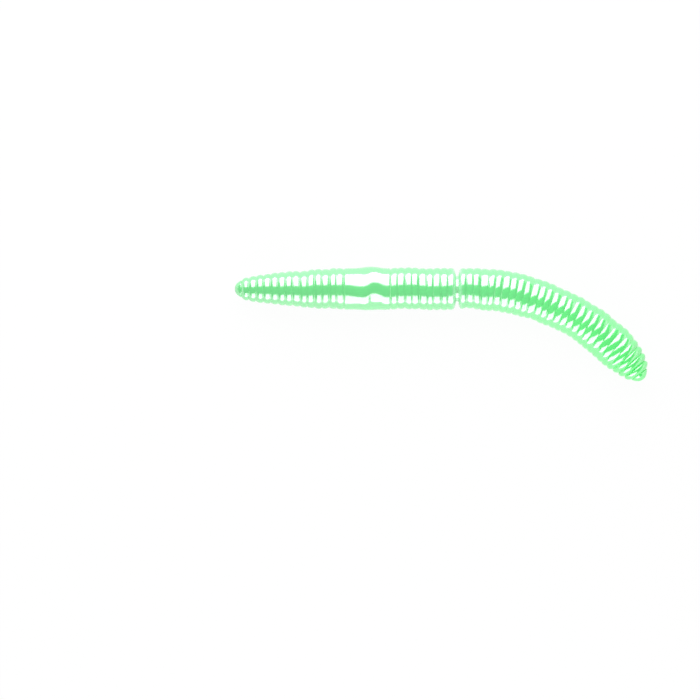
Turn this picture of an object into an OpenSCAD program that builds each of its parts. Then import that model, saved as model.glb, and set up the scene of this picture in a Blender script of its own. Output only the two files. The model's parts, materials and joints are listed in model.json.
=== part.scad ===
// Soft plastic fishing worm, lying on a flat surface.
// The nose points to -X, the tail runs to +X and curves to -Y, and +Z is up.
// Every ring is a turned disc. A groove parts it from the next ring, and a core with a
// ball-shaped edge crosses the groove and seats in that next ring. The worm bends about
// the middle of each groove.

/* [Nose and head rings] */
// Length of the plain rounded nose in front of the first ring
nose_length = 1.2; // [0.9:0.05:2]
// Rings between the nose and the saddle
head_rings = 14; // [8:1:18]
// Distance from one head ring to the next
head_pitch = 1.33; // [1.2:0.01:1.6]
// Length over which the head swells from the nose to its full girth
head_swell_length = 18.2; // [14:0.1:24]
// How fast the nose swells, smaller is blunter
nose_power = 0.28; // [0.2:0.01:0.4]

/* [Saddle and middle rings] */
// Length of the smooth saddle behind the head
saddle_length = 8.5; // [6:0.1:12]
// Radius of the saddle at its fullest
saddle_r = 3.9; // [3.75:0.05:4.4]
// Crest radius of a full-size ring
body_r = 3.75; // [3.2:0.05:4.3]
// Rings between the saddle and the neck
mid_rings = 9; // [5:1:9]
// Distance from one middle ring to the next
mid_pitch = 1.3; // [1.2:0.01:1.6]

/* [Neck] */
// Radius of the thin neck in front of the tail
neck_r = 2.35; // [1.8:0.05:2.8]
// Length of the neck between the rings on either side
neck_length = 0.75; // [0.7:0.05:1.8]
// Radius of the rounded edges of the neck
neck_round = 0.15; // [0.08:0.01:0.18]

/* [Tail] */
// Rings behind the neck
tail_rings = 29; // [16:1:30]
// Distance from one tail ring to the next
tail_pitch = 1.3; // [1.2:0.01:1.6]
// Tail rings that still lie in line with the body
straight_tail_rings = 2; // [0:1:8]
// Turn from one curved tail ring to the next, in degrees
tail_bend = 1.95; // [0:0.05:3]
// Length of the plain rounded end of the tail
tail_tip_length = 1.2; // [1:0.1:2.5]
// Length over which the tail thins to its end
tail_thin_length = 6.5; // [4:0.1:10]
// How fast the tail thins, smaller is blunter
tail_power = 0.35; // [0.25:0.01:0.5]

/* [Grooves] */
// Depth of a groove from the edge of its rings to the core
groove_depth = 0.65; // [0.5:0.05:0.8]
// Width that the faces of two rings would have between them at the worm's axis
groove_gap = 0.2; // [0.15:0.01:0.25]
// How far each wall of a groove leans outwards, in degrees
groove_lean = 2; // [1:0.1:3]
// Radius of the rounded edges of a ring
rim_round = 0.3; // [0.15:0.01:0.35]

/* [Core] */
// How far the core reaches past the middle of its groove
core_reach = 0.3; // [0.25:0.01:0.35]
// Room round the core in its seat
core_clearance = 0.05; // [0.03:0.01:0.08]
// Turn that the seat leaves room for, in degrees
bend_room = 6; // [3:0.5:6]

/* [Hidden] */
$fn = 96;
// Steps along a rounded edge, a rounded end, the saddle and the edge of a core
edge_steps = 5;
end_steps = 9;
saddle_steps = 16;
core_steps = 3;
// Steepness of the saddle's two shoulders
saddle_shoulder = 6;
head_colour = [122, 232, 146] / 255;
tail_colour = [100, 252, 125] / 255;

function two_digits(i) = str(i < 10 ? "0" : "", i);
function numbered(word, count) = [for (i = [1 : count]) str(word, two_digits(i))];
function repeated(value, count) = [for (i = [1 : count]) value];

head_names = numbered("head_ring_", head_rings);
mid_names = numbered("mid_ring_", mid_rings);
tail_names = numbered("tail_ring_", tail_rings);

// Segments in their order from nose to tail
lengths = concat(
    [nose_length],
    repeated(head_pitch, head_rings),
    [saddle_length],
    repeated(mid_pitch, mid_rings),
    [neck_length],
    repeated(tail_pitch, tail_rings),
    [tail_tip_length]
);
saddle_at = head_rings + 1;
neck_at = saddle_at + mid_rings + 1;
last = len(lengths) - 1;
first_curved = neck_at + straight_tail_rings + 1;

// Distance along the worm, heading and place of the groove in front of each segment
starts = [for (i = 0, s = 0; i <= last; s = s + lengths[i], i = i + 1) s];
worm_length = starts[last] + tail_tip_length;
headings = [for (i = [0 : last]) -tail_bend * max(0, i - first_curved + 1)];
places = [
    for (i = 0, p = [0, 0]; i <= last;
         p = p + lengths[i] * [cos(headings[i]), sin(headings[i])], i = i + 1) p
];

// Crest radius at a distance along the worm
function head_share(s) = pow(s / head_swell_length, nose_power);
function tail_share(s) = pow((worm_length - s) / tail_thin_length, tail_power);
function crest_r(s) = body_r * min(1, head_share(s), tail_share(s));

// Outlines are points of [distance from the front groove, radius]
function wall_x(r) = groove_gap / 2 + r * tan(groove_lean);
function edge(x, r, rounding, from, to) = [
    for (k = [0 : edge_steps])
        let (a = from + (to - from) * k / edge_steps)
        [x, r - rounding] + rounding * [cos(a), sin(a)]
];
function edge_x(r, rounding) = wall_x(r - rounding) + rounding;

// Radius of each segment at its front and rear edges, and of the core in the groove before it
function edge_r(i, share) =
    i == saddle_at ? body_r :
    i == neck_at ? neck_r :
    crest_r(starts[i] + lengths[i] * share);
function front_r(i) = edge_r(i, 1 / 4);
function rear_r(i) = edge_r(i, 3 / 4);
function core_r(i) = min(rear_r(i - 1), front_r(i)) - groove_depth;
function rounding(i) = i == neck_at ? neck_round : rim_round;
function front_edge_x(i) = edge_x(front_r(i), rounding(i));
function rear_edge_x(i) = lengths[i] - edge_x(rear_r(i), rounding(i));
function front_edge(i) = edge(front_edge_x(i), front_r(i), rounding(i), 180, 90);
function rear_edge(i) = edge(rear_edge_x(i), rear_r(i), rounding(i), 90, 0);

// Part of a ball about the middle of a groove at x, from one distance beside it to another
function ball_edge(x, r, from, to) = [
    for (k = [0 : core_steps])
        let (t = from + (to - from) * k / core_steps)
        [x + t, sqrt(r * r - t * t)]
];

// The core behind a segment, and the seat before it, deep enough for the edge of the core to swing in
function core(i) =
    let (r = core_r(i + 1))
    concat(ball_edge(lengths[i], r, -wall_x(r), core_reach), [[lengths[i] + core_reach, 0]]);
function seat(i) =
    let (r = core_r(i) + core_clearance, depth = core_reach + core_clearance + r * sin(bend_room))
    concat([[depth, 0]], ball_edge(0, r, depth, wall_x(r)));

function ring_outline(i) = concat(seat(i), front_edge(i), rear_edge(i), core(i));

function swell(t) = 1 - pow(abs(2 * t - 1), saddle_shoulder);
function saddle_outline(i) =
    let (from = front_edge_x(i), to = rear_edge_x(i))
    concat(
        seat(i),
        front_edge(i),
        [for (k = [1 : saddle_steps - 1])
            let (t = k / saddle_steps)
            [from + (to - from) * t, body_r + (saddle_r - body_r) * swell(t)]],
        rear_edge(i),
        core(i)
    );

// The rounded ends crowd their points towards the tip, where they curve most
function nose_outline(i) =
    let (to = rear_edge_x(i))
    concat(
        [for (k = [0 : end_steps - 1])
            let (t = pow(k / end_steps, 3))
            [to * t, rear_r(i) * pow(t, nose_power)]],
        rear_edge(i),
        core(i)
    );
function tail_end_outline(i) =
    let (from = front_edge_x(i))
    concat(
        seat(i),
        front_edge(i),
        [for (k = [1 : end_steps])
            let (t = pow(1 - k / end_steps, 3))
            [lengths[i] + (from - lengths[i]) * t, front_r(i) * pow(t, tail_power)]]
    );

function outline(i) =
    i == 0 ? nose_outline(i) :
    i == saddle_at ? saddle_outline(i) :
    i == last ? tail_end_outline(i) :
    ring_outline(i);

// Box of the whole worm on the surface, for an origin at the middle of its underside
reach_x = [for (i = [0 : last]) for (p = outline(i)) for (side = [-1, 1])
    places[i].x + p.x * cos(headings[i]) + side * p.y * sin(headings[i])];
reach_y = [for (i = [0 : last]) for (p = outline(i)) for (side = [-1, 1])
    places[i].y + p.x * sin(headings[i]) + side * p.y * cos(headings[i])];
middle_x = (min(reach_x) + max(reach_x)) / 2;
middle_y = (min(reach_y) + max(reach_y)) / 2;
axis_height = max([for (i = [0 : last]) for (p = outline(i)) p.y]);

module turned(points) {
    rotate([0, 90, 0]) rotate_extrude() polygon([for (p = points) [p.y, p.x]]);
}

// One segment in its place
module segment(i) {
    share = (starts[i] + lengths[i] / 2) / worm_length;
    color(head_colour + (tail_colour - head_colour) * share)
        translate([places[i].x - middle_x, places[i].y - middle_y, axis_height])
        rotate([0, 0, headings[i]])
        turned(outline(i));
}

module head_tip() { segment(0); }
module head_ring(number) { segment(number); }
module saddle() { segment(saddle_at); }
module mid_ring(number) { segment(saddle_at + number); }
module neck() { segment(neck_at); }
module tail_ring(number) { segment(neck_at + number); }
module tail_tip() { segment(last); }

head_tip();
for (number = [1 : head_rings])
    head_ring(number);
saddle();
for (number = [1 : mid_rings])
    mid_ring(number);
neck();
for (number = [1 : tail_rings])
    tail_ring(number);
tail_tip();
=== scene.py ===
# %% [markdown]
# # A ringed soft plastic worm
# This lesson dresses a jointed worm that has already been built as solids. The solids are
# the frame: they fix every size, and each ring is a body that turns a little at its groove.
# The real worm is one soft moulding, so its skin has to run on unbroken from ring to ring
# and bend at the grooves. Everything below is in metres, in the frame's own axes: the nose
# points to -X, the tail curves to -Y, and +Z is up.

# %% Load the frame
import json
import math

import bpy
from mathutils import Color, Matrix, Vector

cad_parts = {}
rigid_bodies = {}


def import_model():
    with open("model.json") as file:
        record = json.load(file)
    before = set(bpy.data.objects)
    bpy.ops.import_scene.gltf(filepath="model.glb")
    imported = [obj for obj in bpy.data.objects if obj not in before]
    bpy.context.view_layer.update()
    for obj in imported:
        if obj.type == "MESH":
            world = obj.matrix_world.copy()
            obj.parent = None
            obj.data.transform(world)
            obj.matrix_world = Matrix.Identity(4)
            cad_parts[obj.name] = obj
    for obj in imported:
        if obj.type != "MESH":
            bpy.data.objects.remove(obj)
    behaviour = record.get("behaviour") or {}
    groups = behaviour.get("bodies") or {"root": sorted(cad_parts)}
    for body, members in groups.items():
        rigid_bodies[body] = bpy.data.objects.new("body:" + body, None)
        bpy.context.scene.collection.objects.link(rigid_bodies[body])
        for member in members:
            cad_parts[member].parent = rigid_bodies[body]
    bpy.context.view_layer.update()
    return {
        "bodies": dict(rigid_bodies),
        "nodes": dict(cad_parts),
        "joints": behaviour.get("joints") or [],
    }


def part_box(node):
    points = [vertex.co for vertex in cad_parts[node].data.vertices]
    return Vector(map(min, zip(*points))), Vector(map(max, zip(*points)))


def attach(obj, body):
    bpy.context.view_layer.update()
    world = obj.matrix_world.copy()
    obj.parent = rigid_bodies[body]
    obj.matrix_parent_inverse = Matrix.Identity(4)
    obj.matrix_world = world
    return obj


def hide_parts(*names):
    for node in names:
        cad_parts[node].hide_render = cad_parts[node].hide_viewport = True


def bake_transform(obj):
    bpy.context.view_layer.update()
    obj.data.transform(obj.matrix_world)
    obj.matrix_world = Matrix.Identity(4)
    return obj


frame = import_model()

MM = 0.001
segments = list(frame["bodies"])
print("segments from nose to tail:", len(segments))

# %% [markdown]
# ## Where the worm bends
# A soft worm bends at its grooves, where the plastic is thinnest, and every joint of the
# frame lies in the middle of one. Read in order, the joints are the worm's backbone, and the
# point halfway between two of them is the middle of a ring. These points could be typed in
# again, but measured from the frame they follow the solids if a size changes.

# %% Read the grooves
SADDLE = segments.index("saddle")
NECK = segments.index("neck")
LAST = len(segments) - 1

grooves = {}
for joint in frame["joints"]:
    behind = max(joint["parent"], joint["child"], key=segments.index)
    grooves[segments.index(behind)] = Vector(joint["pos_m"])
print("grooves:", len(grooves))

# %% [markdown]
# ## Where the worm ends
# No joint marks the two tips, so they are measured on the solids. The nose ends straight in
# front of the first groove. The tail tip carries on the turn of the last two rings, and ends
# at the point of its solid that reaches furthest that way. With both ends known, the length
# of every segment and its distance along the worm follow.

# %% Find the two ends
nose_end = Vector((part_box("head_tip")[0].x, grooves[1].y, grooves[1].z))

last_heading = (grooves[LAST] - grooves[LAST - 1]).normalized()
heading_before = (grooves[LAST - 1] - grooves[LAST - 2]).normalized()
turn = heading_before.rotation_difference(last_heading)
tip_heading = turn @ last_heading
tip_points = [v.co - grooves[LAST] for v in frame["nodes"]["tail_tip"].data.vertices]
tail_end = grooves[LAST] + tip_heading * max(p.dot(tip_heading) for p in tip_points)

ends = [nose_end] + [grooves[i] for i in range(1, LAST + 1)] + [tail_end]
lengths = [(ends[i + 1] - ends[i]).length for i in range(LAST + 1)]
distances = [sum(lengths[:i]) for i in range(LAST + 2)]
worm_length = distances[-1]
print("length along the backbone, mm:", round(worm_length / MM, 2))

# %% [markdown]
# ## How thick each ring is
# The rings swell from the nose to their full girth and thin again at the tail. Half the
# height of a ring's box is the radius of its fuller edge, which on a ring that tapers lies a
# quarter of the ring's length from its middle, so that much of the taper is taken off again.
# The taper itself comes from the rings on both sides.

# %% Measure the rings
EDGE_FROM_MIDDLE = 1 / 4


def half_height(name):
    """Radius of a solid segment at its fullest."""
    low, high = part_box(name)
    return (high.z - low.z) / 2


full_radii = [half_height(name) for name in segments]
# The rings beside the smooth saddle and the neck meet them without a taper
full_radii[SADDLE] = full_radii[SADDLE - 1]
full_radii[NECK] = full_radii[NECK - 1]


def taper(i):
    """Growth of the radius over one ring, from the rings on both sides of ring i."""
    before = max(i - 1, 0)
    after = min(i + 1, LAST)
    return (full_radii[after] - full_radii[before]) / (after - before)


rises = [taper(i) for i in range(LAST + 1)]
radii = [full_radii[i] - abs(rises[i]) * EDGE_FROM_MIDDLE for i in range(LAST + 1)]
rises[NECK] = 0
radii[NECK] = half_height("neck")
body_radius = radii[SADDLE]
saddle_swell = half_height("saddle") - body_radius
print("radius of body, neck and saddle, mm:",
      [round(r / MM, 2) for r in (body_radius, radii[NECK], body_radius + saddle_swell)])

# %% [markdown]
# ## Building node trees from code
# The rings repeat and follow one rule, so Geometry Nodes make them. A tree could be written
# out node by node, which is long and hard to read. A few small helpers keep it short: one
# adds a node and fills its inputs, by a plain value or by a link, and two write arithmetic
# as a call.

# %% Node helpers
def fill(tree, socket, value):
    """Link a socket to another one, or give it a plain value."""
    if isinstance(value, bpy.types.NodeSocket):
        tree.links.new(value, socket)
    else:
        socket.default_value = value


def add_node(tree, kind, inputs=None, **settings):
    """Add a node, set its properties, then fill the inputs that are named or numbered."""
    made = tree.nodes.new(kind)
    for name, value in settings.items():
        setattr(made, name, value)
    for key, value in (inputs or {}).items():
        fill(tree, made.inputs[key], value)
    return made


def calc(tree, operation, *values):
    """One step of arithmetic, as the output socket of a Math node."""
    made = add_node(tree, "ShaderNodeMath", dict(enumerate(values)), operation=operation)
    return made.outputs["Value"]


def vector_calc(tree, operation, *values):
    """One step of vector arithmetic, as the output socket of a Vector Math node."""
    made = add_node(tree, "ShaderNodeVectorMath", dict(enumerate(values)), operation=operation)
    return made.outputs["Vector"]


print("node helpers:", [helper.__name__ for helper in (fill, add_node, calc, vector_calc)])

# %% [markdown]
# ## The skin from one crest to the next
# On the real worm the skin runs on unbroken over all the rings. It could be one long mesh,
# but the frame bends a piece across one joint only. So each piece runs from the crest of one
# ring, down into the groove and up to the next crest. Cutting at the crests hides the cuts:
# the skin lies flat there, and the frame turns the cut edges of both neighbours alike. One
# tree makes every piece, and these are the sizes that it takes.

# %% Name the sizes of the skin
NUMBER = "NodeSocketFloat"
POINT = "NodeSocketVector"
SIZES = {
    "Front Point": POINT,
    "Groove Point": POINT,
    "Rear Point": POINT,
    "Front Radius": NUMBER,
    "Front Rise": NUMBER,
    "Front Roundness": NUMBER,
    "Rear Radius": NUMBER,
    "Rear Rise": NUMBER,
    "Rear Roundness": NUMBER,
    "Fullness": NUMBER,
    "Valley Radius": NUMBER,
    "Groove Share": NUMBER,
    "Swell": NUMBER,
    "Lean": NUMBER,
    "Front Along": NUMBER,
    "Rear Along": NUMBER,
    "Steps": "NodeSocketInt",
    "Material": "NodeSocketMaterial",
}

skin_tree = bpy.data.node_groups.new("skin_between_crests", "GeometryNodeTree")
skin_tree.is_modifier = True
for size_name, socket_kind in SIZES.items():
    skin_tree.interface.new_socket(size_name, in_out="INPUT", socket_type=socket_kind)
skin_tree.interface.new_socket("Skin", in_out="OUTPUT", socket_type="NodeSocketGeometry")
print("sizes of a piece of skin:", len(SIZES))

# %% [markdown]
# ## The bead of a ring
# Seen from the side, each ring is a rounded bead. An arc would give only one such shape.
# This rule gives them all: `valley + (crest - valley) * (1 - x^roundness)^fullness`, where x
# runs from 0 on the crest to 1 in the groove. With a groove at the very start and a valley
# of nothing it gives a rounded tip, and with a valley as high as the crests it gives the
# plain saddle, to which a swell is added.

# %% Shape the beads
def bead_side(tree, size, side, share_from_crest, share_to_groove):
    """Radius on one side of the groove."""
    rise = size[side + " Rise"]
    crest = calc(tree, "MULTIPLY_ADD", rise, share_from_crest, size[side + " Radius"])
    power = calc(tree, "POWER", share_to_groove, size[side + " Roundness"])
    left = calc(tree, "SUBTRACT", 1.0, power)
    shape = calc(tree, "POWER", left, size["Fullness"])
    height = calc(tree, "SUBTRACT", crest, size["Valley Radius"])
    return calc(tree, "MULTIPLY_ADD", height, shape, size["Valley Radius"])


def bead_radius(tree, size, share):
    """Radius at a share of the way from the front crest to the rear one."""
    share_left = calc(tree, "SUBTRACT", 1.0, share)
    groove_left = calc(tree, "SUBTRACT", 1.0, size["Groove Share"])
    # x on both sides of the groove, held at 1 past it
    front_x = calc(tree, "MINIMUM", calc(tree, "DIVIDE", share, size["Groove Share"]), 1.0)
    rear_x = calc(tree, "MINIMUM", calc(tree, "DIVIDE", share_left, groove_left), 1.0)
    front_r = bead_side(tree, size, "Front", share, front_x)
    back = calc(tree, "MULTIPLY", share_left, -1.0)
    rear_r = bead_side(tree, size, "Rear", back, rear_x)
    before = calc(tree, "LESS_THAN", share, size["Groove Share"])
    bead = add_node(tree, "ShaderNodeMix", {"Factor": before, "A": rear_r, "B": front_r})
    # The swell is nothing at both crests and fullest halfway
    sine = calc(tree, "SINE", calc(tree, "MULTIPLY", share, math.pi))
    swell = calc(tree, "MULTIPLY", size["Swell"], calc(tree, "MULTIPLY", sine, sine))
    return calc(tree, "ADD", bead.outputs[0], swell)


print("bead helpers:", [helper.__name__ for helper in (bead_side, bead_radius)])

# %% [markdown]
# ## A surface that is never quite true
# A soft casting has shallow dents, and the top of this worm's saddle leans to one side
# towards its rear end. A bump map would only shade them. Noise and a curve in the tree move
# the surface itself, so that highlights and outline follow. The noise reads the place in
# the frame, and so it runs on unbroken across the cuts.

# %% Make the surface uneven
UNEVEN_SHARE = 0.08
UNEVEN_PER_METRE = (400, 160, 160)
UNEVEN_SEED = 4.0
NOISE_MIDDLE = 0.5
# How far the saddle's top leans at a share of its length, where 1 is fully
LEAN_ALONG_SADDLE = ((0.0, 0.3), (0.2, 0.3), (0.44, 0.1), (0.68, 1.0), (0.97, 0.3), (1.0, 0.3))


def dent_push(tree, place):
    """How far the dents move the surface, as a share of its radius."""
    stretched = vector_calc(tree, "MULTIPLY", place, UNEVEN_PER_METRE)
    noise = add_node(tree, "ShaderNodeTexNoise", {
        "Vector": stretched, "W": UNEVEN_SEED, "Scale": 1.0, "Detail": 0.0}, noise_dimensions="4D")
    from_middle = calc(tree, "SUBTRACT", noise.outputs["Fac"], NOISE_MIDDLE)
    return calc(tree, "MULTIPLY", from_middle, UNEVEN_SHARE / NOISE_MIDDLE)


def lean_along(tree, share):
    """How far the saddle's top leans at a share of its length. Its two ends stay level."""
    curve = add_node(tree, "ShaderNodeFloatCurve", {"Value": share})
    points = curve.mapping.curves[0].points
    for share_along, lean in LEAN_ALONG_SADDLE[1:-1]:
        points.new(share_along, lean)
    points[0].location = LEAN_ALONG_SADDLE[0]
    points[-1].location = LEAN_ALONG_SADDLE[-1]
    for point in points:
        point.handle_type = "AUTO_CLAMPED"
    curve.mapping.update()
    return calc(tree, "SUBTRACT", curve.outputs[0], LEAN_ALONG_SADDLE[0][1])


def uneven_push(tree, size, place, share, outwards):
    """How far dents and lean together move the surface, as a share of its radius."""
    direction = add_node(tree, "ShaderNodeSeparateXYZ", {"Vector": outwards}).outputs
    across = calc(tree, "MULTIPLY", direction["Y"], direction["Z"])
    slant = calc(tree, "MULTIPLY", across, size["Lean"])
    return calc(tree, "MULTIPLY_ADD", slant, lean_along(tree, share), dent_push(tree, place))


print("a dent is at most, mm:", round(UNEVEN_SHARE * body_radius / MM, 2))

# %% [markdown]
# ## Turning the bead round the backbone
# A lathe, such as the Screw modifier, turns an outline round a straight axis. The worm bends
# at the groove, so a short curved line takes the place of the axis, and Curve to Mesh draws
# a circle along it that is scaled by the bead's radius. The tree also stores how far along
# the worm each point is, for the colour.

# %% Put the tree together
AROUND = 128
MERGE_DISTANCE = 0.001 * MM


def build_skin_tree(tree):
    """Bend a line through its three points and turn the bead outline round it."""
    size = add_node(tree, "NodeGroupInput").outputs
    line = add_node(tree, "GeometryNodeCurveQuadraticBezier", {
        "Resolution": size["Steps"], "Start": size["Front Point"],
        "Middle": size["Groove Point"], "End": size["Rear Point"]})
    upright = add_node(tree, "GeometryNodeSetCurveNormal", {"Curve": line.outputs[0]}, mode="Z_UP")
    share = add_node(tree, "GeometryNodeSplineParameter").outputs["Factor"]
    place = add_node(tree, "GeometryNodeInputPosition").outputs["Position"]
    kept = add_node(tree, "GeometryNodeCaptureAttribute", {"Geometry": upright.outputs[0]})
    for item_name, item_kind, item in (("axis", "VECTOR", place), ("share", "FLOAT", share)):
        kept.capture_items.new(item_kind, item_name)
        tree.links.new(item, kept.inputs[item_name])
    circle = add_node(tree, "GeometryNodeCurvePrimitiveCircle", {"Resolution": AROUND, "Radius": 1.0})
    turned = add_node(tree, "GeometryNodeCurveToMesh", {
        "Curve": kept.outputs["Geometry"], "Profile Curve": circle.outputs[0],
        "Scale": bead_radius(tree, size, share), "Fill Caps": True})

    offset = vector_calc(tree, "SUBTRACT", place, kept.outputs["axis"])
    outwards = vector_calc(tree, "NORMALIZE", offset)
    push = uneven_push(tree, size, place, kept.outputs["share"], outwards)
    pushed = add_node(tree, "ShaderNodeVectorMath", {"Vector": offset, "Scale": push}, operation="SCALE")
    uneven = add_node(tree, "GeometryNodeSetPosition",
                      {"Geometry": turned.outputs[0], "Offset": pushed.outputs["Vector"]})

    along = add_node(tree, "ShaderNodeMapRange", {
        "Value": kept.outputs["share"], "To Min": size["Front Along"], "To Max": size["Rear Along"]})
    with_along = add_node(tree, "GeometryNodeStoreNamedAttribute", {
        "Geometry": uneven.outputs[0], "Name": "along", "Value": along.outputs[0]}, data_type="FLOAT")
    closed = add_node(tree, "GeometryNodeMergeByDistance",
                      {"Geometry": with_along.outputs[0], "Distance": MERGE_DISTANCE})
    real = add_node(tree, "GeometryNodeRealizeInstances", {"Geometry": closed.outputs[0]})
    painted = add_node(tree, "GeometryNodeSetMaterial",
                       {"Geometry": real.outputs[0], "Material": size["Material"]})
    add_node(tree, "NodeGroupOutput", {"Skin": painted.outputs[0]})


build_skin_tree(skin_tree)
print("nodes in the skin tree:", len(skin_tree.nodes))

# %% [markdown]
# ## The greens of the plastic, with painted light
# The worm is cast in one bright green plastic. The stronger green towards the tail is painted
# light, a glow put into the colour. The pale green at the thin neck is also painted light, for
# the light that passes through the plastic there. Every segment could have a material of its
# own, but then the colour would step at each cut. One ramp of colours along the whole worm,
# read from the attribute that the skin tree stores, has no steps.

# %% Choose the greens
SCREEN_WHITE = 255


def from_screen(*levels):
    """A colour as screens show it, from 0 to 255, as the linear colour a shader takes."""
    screen = Color([level / SCREEN_WHITE for level in levels])
    return (*screen.from_srgb_to_scene_linear(), 1.0)


HEAD_GREEN = from_screen(100, 229, 131)
MIDDLE_GREEN = from_screen(96, 235, 131)
# Painted light: this paler green at the thin neck stands in for light passing through it
NECK_PAINTED_LIGHT_GREEN = from_screen(165, 243, 185)
# Painted light: the stronger greens of the tail and its tip stand in for a glow of light there, not a
# different plastic
TAIL_PAINTED_GLOW_GREEN = from_screen(82, 254, 122)
TIP_PAINTED_GLOW_GREEN = from_screen(48, 255, 102)
# Share of the worm's length at which the tail's painted glow green is reached
TAIL_PAINTED_GLOW_AT = 0.8

neck_from = distances[NECK] / worm_length
neck_to = distances[NECK + 1] / worm_length
half_ring = lengths[NECK - 1] / 2 / worm_length
greens_and_painted_light_between = {
    neck_from - half_ring: MIDDLE_GREEN,
    neck_from: NECK_PAINTED_LIGHT_GREEN,
    neck_to: NECK_PAINTED_LIGHT_GREEN,
    neck_to + half_ring: MIDDLE_GREEN,
    TAIL_PAINTED_GLOW_AT: TAIL_PAINTED_GLOW_GREEN,
}
print("greens change at these shares of the length:", [round(share, 3) for share in greens_and_painted_light_between])

# %% [markdown]
# ## Clouds in the plastic
# Cast plastic is never of one even colour, and faint clouds run through this one. A painted
# picture could hold them, but it would need unwrapping. Noise on Object coordinates needs
# none, and it is the same on both sides of a cut.

# %% Colour the plastic
CLOUDS_PER_METRE = 190
CLOUD_DETAIL = 3.0
CLOUD_LIGHTNESS = (0.97, 1.03)


def plastic_colour(tree, place):
    """The ramp of greens along the worm, with painted light at the neck and tail, and faint clouds in
    it.
    """
    along = add_node(tree, "ShaderNodeAttribute", attribute_name="along").outputs["Fac"]
    ramp = add_node(tree, "ShaderNodeValToRGB", {"Fac": along})
    stops = ramp.color_ramp.elements
    stops[0].color = HEAD_GREEN
    # The tip and tail stops are painted light, a glow put into the colour, and so are the pale neck
    # stops below
    stops[1].color = TIP_PAINTED_GLOW_GREEN
    for share, green in greens_and_painted_light_between.items():
        stops.new(share).color = green

    clouds = add_node(tree, "ShaderNodeTexNoise", {
        "Vector": place, "Scale": CLOUDS_PER_METRE, "Detail": CLOUD_DETAIL})
    lightness = add_node(tree, "ShaderNodeMapRange", {
        "Value": clouds.outputs["Fac"],
        "To Min": CLOUD_LIGHTNESS[0], "To Max": CLOUD_LIGHTNESS[1]})
    cloudy = add_node(tree, "ShaderNodeHueSaturation", {
        "Color": ramp.outputs["Color"], "Value": lightness.outputs[0]})
    return cloudy.outputs["Color"]


print("clouds are about this wide, mm:", round(1 / CLOUDS_PER_METRE / MM, 1))

# %% [markdown]
# ## Its wet shine
# The plastic shines as if it were wet, with hard white highlights on every ring. A smooth,
# uncoated plastic reflects only a few percent, too little for that. So a clear coat that
# reflects more lies over it, a little weaker where the skin turns away from the viewer. Fine
# grain from the mould breaks the highlights up just enough. Values that are the same all
# over are set on the shader itself.

# %% Make the plastic
PLASTIC_IOR = 1.5
COAT_IOR = 3.2
COAT_ROUGHNESS = 0.16
GRAIN_PER_METRE = 2600
GRAIN_DETAIL = 2.0
GRAIN_ROUGHNESS = (0.07, 0.16)
GRAIN_BUMP = 0.015
GRAIN_DEPTH = 0.02 * MM
# How far the skin has turned away where the shine starts to fade, and where it is weakest
SHINE_FADE = (0.3, 0.6)
SHINE_AT_EDGES = 0.8


def add_shine(tree, shader, place):
    """Grain in the surface, and the clear coat over it."""
    grain = add_node(tree, "ShaderNodeTexNoise", {
        "Vector": place, "Scale": GRAIN_PER_METRE, "Detail": GRAIN_DETAIL}).outputs["Fac"]
    roughness = add_node(tree, "ShaderNodeMapRange", {
        "Value": grain, "To Min": GRAIN_ROUGHNESS[0], "To Max": GRAIN_ROUGHNESS[1]})
    bump = add_node(tree, "ShaderNodeBump", {
        "Strength": GRAIN_BUMP, "Distance": GRAIN_DEPTH, "Height": grain})
    turned_away = add_node(tree, "ShaderNodeLayerWeight").outputs["Facing"]
    shine = add_node(tree, "ShaderNodeMapRange", {
        "Value": turned_away, "From Min": SHINE_FADE[0], "From Max": SHINE_FADE[1],
        "To Min": 1.0, "To Max": SHINE_AT_EDGES})
    fill(tree, shader.inputs["Roughness"], roughness.outputs[0])
    fill(tree, shader.inputs["Normal"], bump.outputs[0])
    fill(tree, shader.inputs["Coat Weight"], shine.outputs[0])
    shader.inputs["IOR"].default_value = PLASTIC_IOR
    shader.inputs["Coat Roughness"].default_value = COAT_ROUGHNESS
    shader.inputs["Coat IOR"].default_value = COAT_IOR


def make_soft_plastic():
    """Green plastic under a wet shine."""
    material = bpy.data.materials.new("soft_plastic_green")
    material.use_nodes = True
    tree = material.node_tree
    shader = tree.nodes["Principled BSDF"]
    place = add_node(tree, "ShaderNodeTexCoord").outputs["Object"]
    fill(tree, shader.inputs["Base Color"], plastic_colour(tree, place))
    add_shine(tree, shader, place)
    return material


soft_plastic = make_soft_plastic()
print("material:", soft_plastic.name, "with nodes:", len(soft_plastic.node_tree.nodes))

# %% [markdown]
# ## Making every piece of skin
# Each piece is an empty object with the tree as its modifier. The sizes are set by the
# identifier of their socket, then the result is taken as a plain mesh and the modifier
# goes, because a piece that bends must be a plain mesh. The object itself stays at the
# origin, and the place of the piece is in its mesh.

# %% Turn sizes into skin
socket_of = {item.name: item.identifier for item in skin_tree.interface.items_tree
             if item.in_out == "INPUT"}


def new_object(name, data):
    """An object with this data, in the scene and at the origin."""
    made = bpy.data.objects.new(name, data)
    bpy.context.scene.collection.objects.link(made)
    return made


def make_skin(name, sizes):
    """A plain mesh object made by the skin tree from these sizes."""
    empty = bpy.data.meshes.new(name)
    piece = new_object(name, empty)
    modifier = piece.modifiers.new("skin", "NODES")
    modifier.node_group = skin_tree
    for size_name, value in sizes.items():
        modifier[socket_of[size_name]] = value
    graph = bpy.context.evaluated_depsgraph_get()
    mesh = bpy.data.meshes.new_from_object(piece.evaluated_get(graph), depsgraph=graph)
    piece.modifiers.clear()
    piece.data = mesh
    # The name is free for the new mesh once the empty one is gone
    bpy.data.meshes.remove(empty)
    mesh.name = name
    return piece


print("sizes found by their identifier:", len(socket_of))

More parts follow.
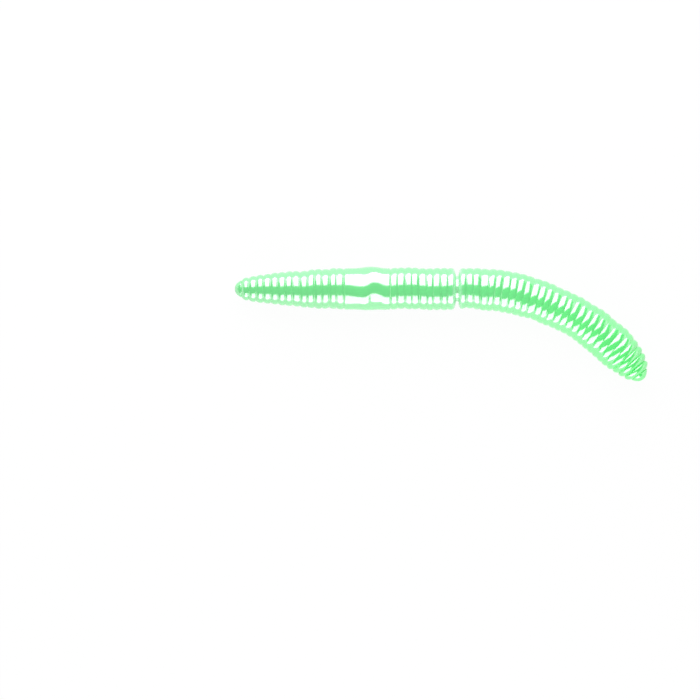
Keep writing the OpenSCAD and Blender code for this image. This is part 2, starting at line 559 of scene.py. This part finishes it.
# %% [markdown]
# ## Where the crests are
# A ring's crest lies halfway between its grooves. The saddle and the two tips have no such
# middle crest, so their skin is cut close to the groove, where they reach their full girth.
# Cut further away, the piece over the groove would bend plastic that is stiff there.

# %% Work out the crests
# Distance of the fullest part of the nose, the tail tip and the saddle from their grooves
END_CREST = 0.1 * MM
SADDLE_CREST = 0.35 * MM


def crest_distance(i):
    """Distance from a crest of segment i to its groove."""
    if i in (0, LAST):
        return END_CREST
    return SADDLE_CREST if i == SADDLE else lengths[i] / 2


def crest_behind(i):
    """Point and distance along the worm of the crest behind groove i."""
    half = crest_distance(i)
    heading = (ends[i + 1] - ends[i]).normalized()
    return ends[i] + heading * half, distances[i] + half


def crest_before(i):
    """Point and distance along the worm of the crest in front of groove i."""
    half = crest_distance(i - 1)
    heading = (ends[i] - ends[i - 1]).normalized()
    return ends[i] - heading * half, distances[i] - half


print("crest of the first ring, mm:", [round(c / MM, 2) for c in crest_behind(1)[0]])

# %% [markdown]
# ## The depth of the grooves
# On the real worm the grooves are shallow, and shallower still on the slim nose. A fixed
# depth would cut the nose up, so each groove is a fixed share of the radius deep. Beside
# the neck the valley is the thin neck itself, with a square shoulder on either side of it.

# %% Work out the grooves
GROOVE_SHARE_OF_RADIUS = 0.046
RING_ROUNDNESS = 2.1
SHOULDER_ROUNDNESS = 2.6
BEAD_FULLNESS = 1.0
SHOULDER_FULLNESS = 0.5
# Share of the way from the middle of the neck to the crests beside it that is neck
NECK_SHARE = 0.22


def valley(i):
    """Radius at the bottom of groove i."""
    smaller = min(radii[i - 1], radii[i])
    return smaller if NECK in (i - 1, i) else smaller * (1 - GROOVE_SHARE_OF_RADIUS)


def groove_share(i, front_at, rear_at):
    """Where the bottom of groove i lies between the crests on both sides of it."""
    if i == NECK:
        return 1 - NECK_SHARE
    if i == NECK + 1:
        return NECK_SHARE
    return (distances[i] - front_at) / (rear_at - front_at)


def roundness(other):
    """How square a bead is on the side that faces segment other."""
    return SHOULDER_ROUNDNESS if other == NECK else RING_ROUNDNESS


print("depth of a full-size groove, mm:", round((radii[SADDLE - 1] - valley(SADDLE - 1)) / MM, 2))

# %% [markdown]
# ## The rings
# One piece of skin crosses each groove. It could ride on one of its two rings, but then it
# would part from the other one in a bend. Here each piece is made at rest and is tied to
# neither ring. Each piece stands for the solid ring behind it, apart from the saddle and the
# tail tip, which have a piece of their own.

# %% Cover the grooves
STEPS = 32


def skin_over_groove(i):
    """The skin from the crest of segment i - 1 to the crest of segment i."""
    front_point, front_at = crest_before(i)
    rear_point, rear_at = crest_behind(i)
    length = rear_at - front_at
    return make_skin("bend_" + segments[i], {
        "Front Point": front_point,
        "Groove Point": ends[i],
        "Rear Point": rear_point,
        "Front Radius": radii[i - 1],
        "Front Rise": rises[i - 1] * length / lengths[i - 1],
        "Front Roundness": roundness(i),
        "Rear Radius": radii[i],
        "Rear Rise": rises[i] * length / lengths[i],
        "Rear Roundness": roundness(i - 1),
        "Fullness": SHOULDER_FULLNESS if NECK in (i - 1, i) else BEAD_FULLNESS,
        "Valley Radius": valley(i),
        "Groove Share": groove_share(i, front_at, rear_at),
        "Swell": 0.0,
        "Lean": 0.0,
        "Front Along": front_at / worm_length,
        "Rear Along": rear_at / worm_length,
        "Steps": STEPS,
        "Material": soft_plastic,
    })


for i in range(1, LAST + 1):
    bend = skin_over_groove(i)
    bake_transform(bend)
    if i not in (SADDLE, LAST):
        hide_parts(segments[i])
print("grooves covered:", LAST)

# %% [markdown]
# ## The saddle
# Behind the head sits a smooth, slightly fuller collar. It bends nowhere, so it simply rides
# on its body. A plain tube would do, but the same tree gives it a soft swell, and a top that
# leans a little towards its rear end. The lean shifts the highlights there, as on a soft
# casting that cooled unevenly.

# %% Cover the saddle
SADDLE_LEAN = 0.14
SADDLE_STEPS = 96
saddle_front, saddle_front_at = crest_behind(SADDLE)
saddle_rear, saddle_rear_at = crest_before(SADDLE + 1)
plain = {
    "Front Rise": 0.0,
    "Front Roundness": RING_ROUNDNESS,
    "Rear Rise": 0.0,
    "Rear Roundness": RING_ROUNDNESS,
    "Fullness": BEAD_FULLNESS,
    "Swell": 0.0,
    "Lean": 0.0,
    "Material": soft_plastic,
}
saddle_skin = make_skin("saddle_skin", {
    **plain,
    "Front Point": saddle_front,
    "Groove Point": (saddle_front + saddle_rear) / 2,
    "Rear Point": saddle_rear,
    "Front Radius": body_radius,
    "Rear Radius": body_radius,
    "Valley Radius": body_radius,
    "Groove Share": 0.5,
    "Swell": saddle_swell,
    "Lean": SADDLE_LEAN,
    "Front Along": saddle_front_at / worm_length,
    "Rear Along": saddle_rear_at / worm_length,
    "Steps": SADDLE_STEPS,
})
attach(saddle_skin, "saddle")
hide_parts("saddle")
print("saddle skin from, to, mm:", round(saddle_front.x / MM, 2), round(saddle_rear.x / MM, 2))

# %% [markdown]
# ## The two ends
# The nose and the tail tip are plain, blunt ends. Half a sphere of their girth would be too
# long. Each runs from its tip to its crest as half a bead instead, whose groove lies at the
# tip with a valley of nothing, so the skin closes there.

# %% Cover the ends
END_ROUNDNESS = 2.0
END_FULLNESS = 0.35
END_STEPS = 40


def rounded_end(name, segment, tip, crest, growth):
    """A rounded end of the worm. Its tip and its crest are a point and a distance along each."""
    i = segments.index(segment)
    tip_point, tip_at = tip
    crest_point, crest_at = crest
    length = (crest_point - tip_point).length
    piece = make_skin(name, {
        **plain,
        "Front Point": tip_point,
        "Groove Point": (tip_point + crest_point) / 2,
        "Rear Point": crest_point,
        "Front Radius": radii[i],
        "Rear Radius": radii[i],
        "Rear Rise": growth * length / lengths[i],
        "Rear Roundness": END_ROUNDNESS,
        "Fullness": END_FULLNESS,
        "Valley Radius": 0.0,
        "Groove Share": 0.0,
        "Front Along": tip_at / worm_length,
        "Rear Along": crest_at / worm_length,
        "Steps": END_STEPS,
    })
    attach(piece, segment)
    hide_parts(segment)
    print(name, "closes at, mm:", [round(c / MM, 2) for c in tip_point])


rounded_end("nose_cap", "head_tip", (nose_end, 0.0), crest_before(1), rises[0])
rounded_end("tail_cap", "tail_tip", (tail_end, worm_length), crest_behind(LAST), -rises[LAST])

# %% [markdown]
# ## Floor
# The worm lies on a plain white sheet. A lit white surface alone looks grey at its far end.
# So the sheet is white by itself to the camera and in reflections, and a small part of what
# shows is still its own lit surface, so that it keeps the shadow. Far away the sheet turns
# up at its sides, so that a low view shows white behind the worm too.

# %% Lay the floor
FLOOR_SIZE = 4.0
FLOOR_RIM = 0.4
FLOOR_GLOW = 1.0
FLOOR_GLOW_SHARE = 0.96
FLOOR_WHITE = (0.88, 0.88, 0.88, 1.0)


def make_white_sheet():
    """A white that mostly glows towards the camera and in reflections."""
    material = bpy.data.materials.new("white_sheet")
    material.use_nodes = True
    tree = material.node_tree
    tree.nodes.remove(tree.nodes["Principled BSDF"])
    lit = add_node(tree, "ShaderNodeBsdfDiffuse", {"Color": FLOOR_WHITE})
    glow = add_node(tree, "ShaderNodeEmission", {"Strength": FLOOR_GLOW})
    rays = add_node(tree, "ShaderNodeLightPath").outputs
    seen = calc(tree, "MAXIMUM", rays["Is Camera Ray"], rays["Is Glossy Ray"])
    share = calc(tree, "MULTIPLY", seen, FLOOR_GLOW_SHARE)
    both = add_node(tree, "ShaderNodeMixShader", {0: share, 1: lit.outputs[0], 2: glow.outputs[0]})
    fill(tree, tree.nodes["Material Output"].inputs["Surface"], both.outputs[0])
    return material


def make_floor():
    """A large sheet that the worm rests on, turned up at its four sides."""
    half = FLOOR_SIZE / 2
    corners = [(-half, -half), (half, -half), (half, half), (-half, half)]
    count = len(corners)
    points = [(x, y, z) for z in (0, FLOOR_RIM) for x, y in corners]
    sides = [(i, (i + 1) % count, (i + 1) % count + count, i + count) for i in range(count)]
    mesh = bpy.data.meshes.new("floor")
    mesh.from_pydata(points, [], [tuple(range(count))] + sides)
    mesh.materials.append(make_white_sheet())
    floor = new_object("floor", mesh)
    return floor


floor = make_floor()
print("floor:", floor.name, "with sides of, m:", FLOOR_SIZE)

# %% [markdown]
# ## Light
# Two long softboxes stand on both sides of the worm, and each ring shows one white patch
# from each. Between them, straight above, it stays dim, so a plain green band runs
# down the middle. A low, weak softbox beyond the tail lights the outer side of its curve.
# Small lamps would give points of light instead of patches. An area lamp of power P and
# area A has a brightness of P / (pi A).

# %% Set the softboxes
LAMP_DISTANCE = 0.25
UP = Vector((0, 0, 1))
BACK = Vector((0, 1, 0))
TAILWARDS = Vector((1, 0, 0))
# Angles are in degrees from straight up, shift and length in metres
SOFTBOXES = {
    "key_softbox": {
        "side": BACK, "top_angle": 21, "bottom_angle": 88,
        "shift": -0.06, "length": 0.32, "brightness": 2.9},
    "fill_softbox": {
        "side": -BACK, "top_angle": 42, "bottom_angle": 89,
        "shift": -0.01, "length": 0.3, "brightness": 2.6},
    "tail_softbox": {
        "side": TAILWARDS, "top_angle": 62, "bottom_angle": 89,
        "shift": 0.0, "length": 0.3, "brightness": 0.6},
}


def softbox_edge(side, angle, shift):
    """Middle of the edge of a softbox that stands at this angle from straight up."""
    outwards = side * math.sin(math.radians(angle))
    return LAMP_DISTANCE * (outwards + UP * math.cos(math.radians(angle))) + TAILWARDS * shift


def softbox(name, side, top_angle, bottom_angle, shift, length, brightness):
    """A rectangular lamp on one side, between two angles from straight up, shifted tailwards."""
    top = softbox_edge(side, top_angle, shift)
    bottom = softbox_edge(side, bottom_angle, shift)
    lamp = bpy.data.lights.new(name, "AREA")
    lamp.shape = "RECTANGLE"
    lamp.size = length
    lamp.size_y = (top - bottom).length
    lamp.energy = brightness * math.pi * lamp.size * lamp.size_y
    holder = new_object(name, lamp)
    holder.location = (top + bottom) / 2
    # Square to the lamp's sheet, and down towards the worm
    facing = side.cross(UP).cross(top - bottom)
    if facing.z > 0:
        facing = -facing
    holder.rotation_euler = facing.to_track_quat("-Z", "Y").to_euler()
    holder.visible_camera = False
    print(name, "size, m:", round(lamp.size, 3), round(lamp.size_y, 3))


for lamp_name, lamp_sizes in SOFTBOXES.items():
    softbox(lamp_name, **lamp_sizes)

# %% [markdown]
# ## The room
# A little even light from all around keeps the sides of the worm from going dark. A bright
# room would wash out the green band and the patches beside it, so it stays dim.

# %% Light the room
ROOM_WHITE = (1, 1, 1, 1)
ROOM_LEVEL = 0.3

room = bpy.data.worlds.new("dim_room")
bpy.context.scene.world = room
room.use_nodes = True
room_light = room.node_tree.nodes["Background"].inputs
room_light["Color"].default_value = ROOM_WHITE
room_light["Strength"].default_value = ROOM_LEVEL
print("room light:", ROOM_LEVEL)

# %% [markdown]
# ## Camera
# The photograph looks straight down, with the worm's nose to the left. The camera could be
# moved until the picture fits, but it can also be worked out: one pixel of the photograph is
# a fixed length on the worm, and the nose has a place in it. A long lens, far away, keeps
# both ends of the worm seen from straight above.

# %% Set the camera
PHOTO_WIDTH = 700
PIXEL = 0.1818 * MM
NOSE_PIXEL = (234.8, 288.8)
LENS = 200.0

scene = bpy.context.scene
camera_data = bpy.data.cameras.new("camera")
camera_data.lens = LENS
camera = new_object("camera", camera_data)
view_width = PHOTO_WIDTH * PIXEL
height = view_width * LENS / camera_data.sensor_width
middle = PHOTO_WIDTH / 2
camera.location = (nose_end.x + (middle - NOSE_PIXEL[0]) * PIXEL,
                   nose_end.y + (NOSE_PIXEL[1] - middle) * PIXEL,
                   nose_end.z + height)
scene.camera = camera
scene.view_settings.view_transform = "Standard"
print("camera height, m:", round(height, 3))
